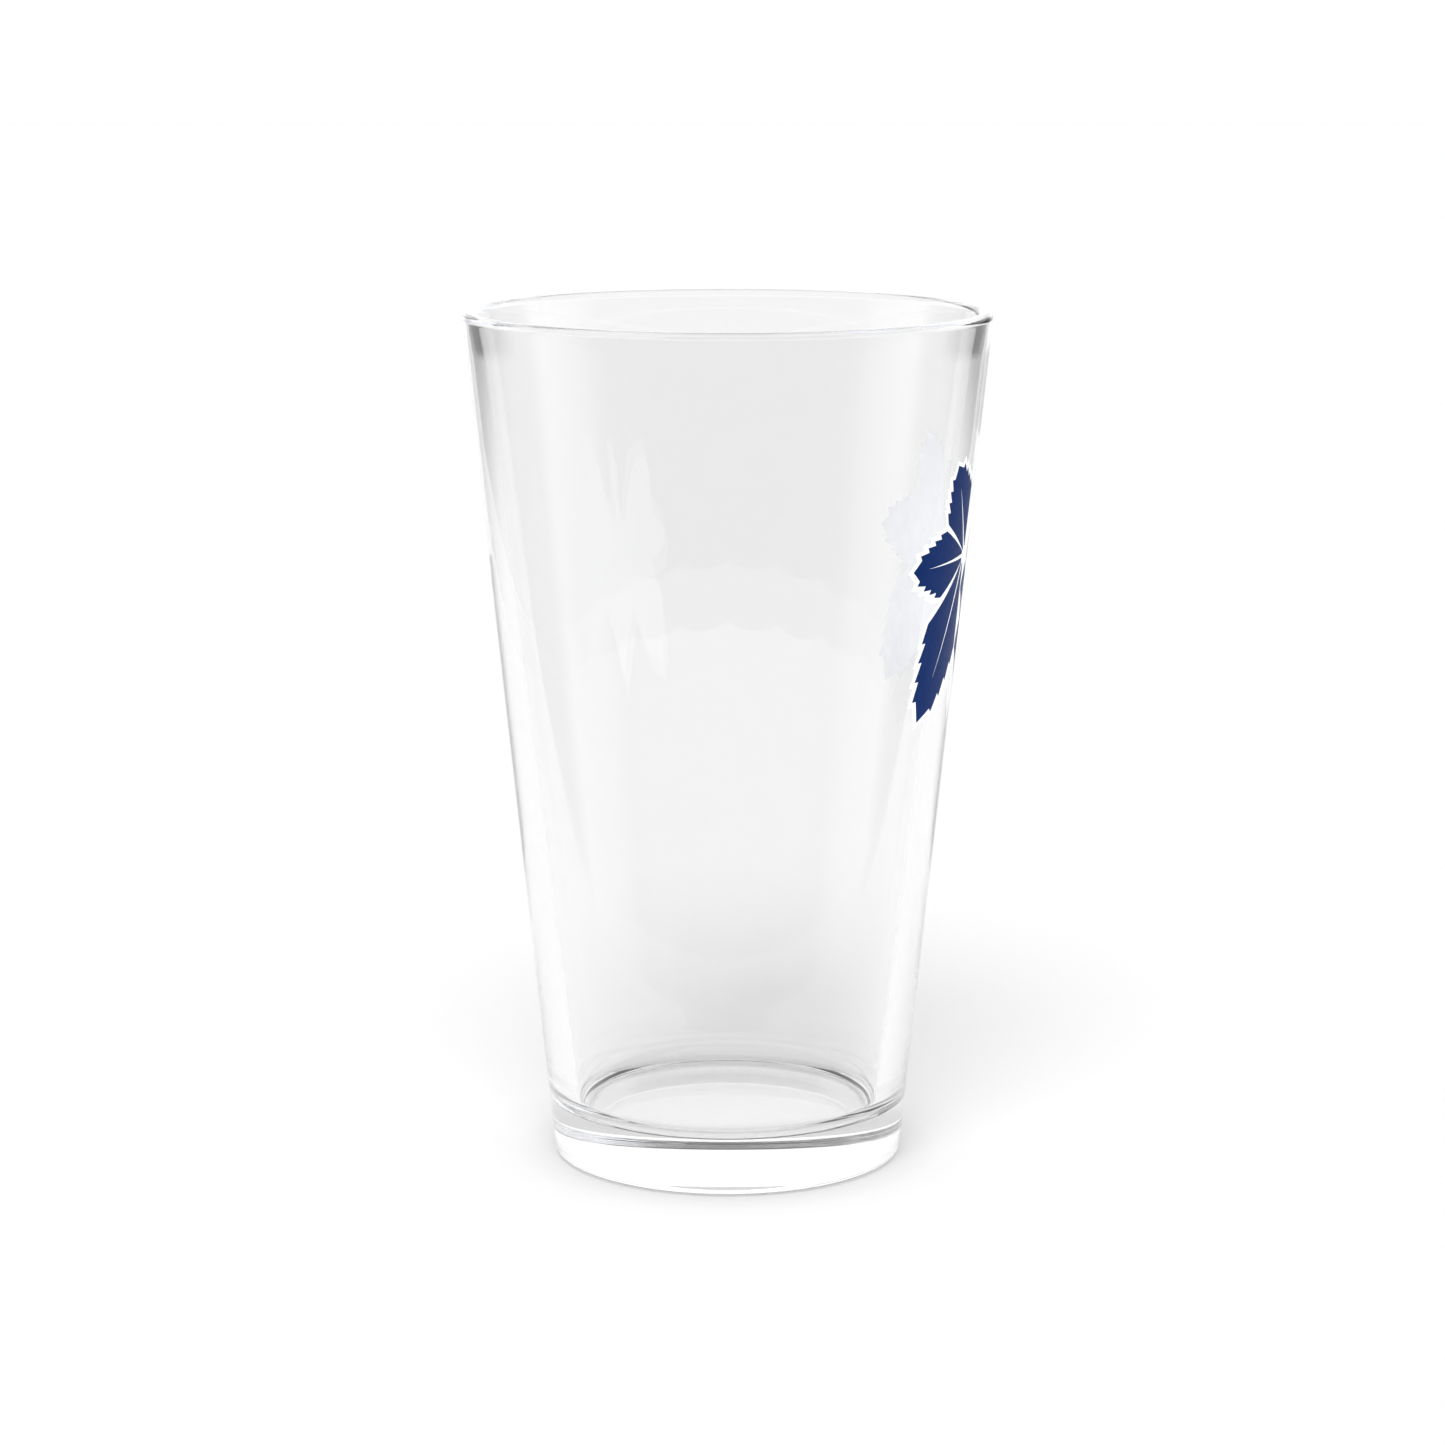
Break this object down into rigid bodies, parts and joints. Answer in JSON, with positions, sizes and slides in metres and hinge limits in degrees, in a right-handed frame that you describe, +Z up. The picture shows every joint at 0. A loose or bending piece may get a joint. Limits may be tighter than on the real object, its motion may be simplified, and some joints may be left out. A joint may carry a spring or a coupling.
{
  "type": "pint glass",
  "caption": "Tapered clear drinking glass with a thick base, rounded rim and heel, and a navy and white ink print of a hop cone on one side.",
  "frame": {"origin": "centre of the foot, on the surface that the glass stands on", "axes": "+Z up along the glass's axis of revolution, +X out through the middle of the print"},
  "size_m": [0.089, 0.089, 0.1457],
  "materials": {
    "clear_glass": "clear pressed soda-lime glass, fire-polished smooth",
    "white_ink": "opaque white fired ink with a satin gloss",
    "navy_ink": "opaque navy fired ink with a satin gloss"
  },
  "bodies": {
    "root": {"glass_tumbler": "clear_glass", "white_underprint": "white_ink", "navy_stem": "navy_ink", "navy_bract_1a": "navy_ink", "navy_bract_1b": "navy_ink", "navy_bract_2a": "navy_ink", "navy_bract_2b": "navy_ink", "navy_bract_2c": "navy_ink", "navy_bract_3a": "navy_ink", "navy_bract_3b": "navy_ink", "navy_bract_4a": "navy_ink", "navy_bract_4b": "navy_ink", "navy_bract_4c": "navy_ink", "navy_bract_5a": "navy_ink", "navy_bract_5b": "navy_ink", "navy_bract_6a": "navy_ink", "navy_leaf_upper_left": "navy_ink", "navy_leaf_upper_right": "navy_ink", "navy_leaf_middle_left": "navy_ink", "navy_leaf_middle_right": "navy_ink", "navy_leaf_lower_left": "navy_ink", "navy_leaf_lower_right": "navy_ink"}
  },
  "joints": []
}
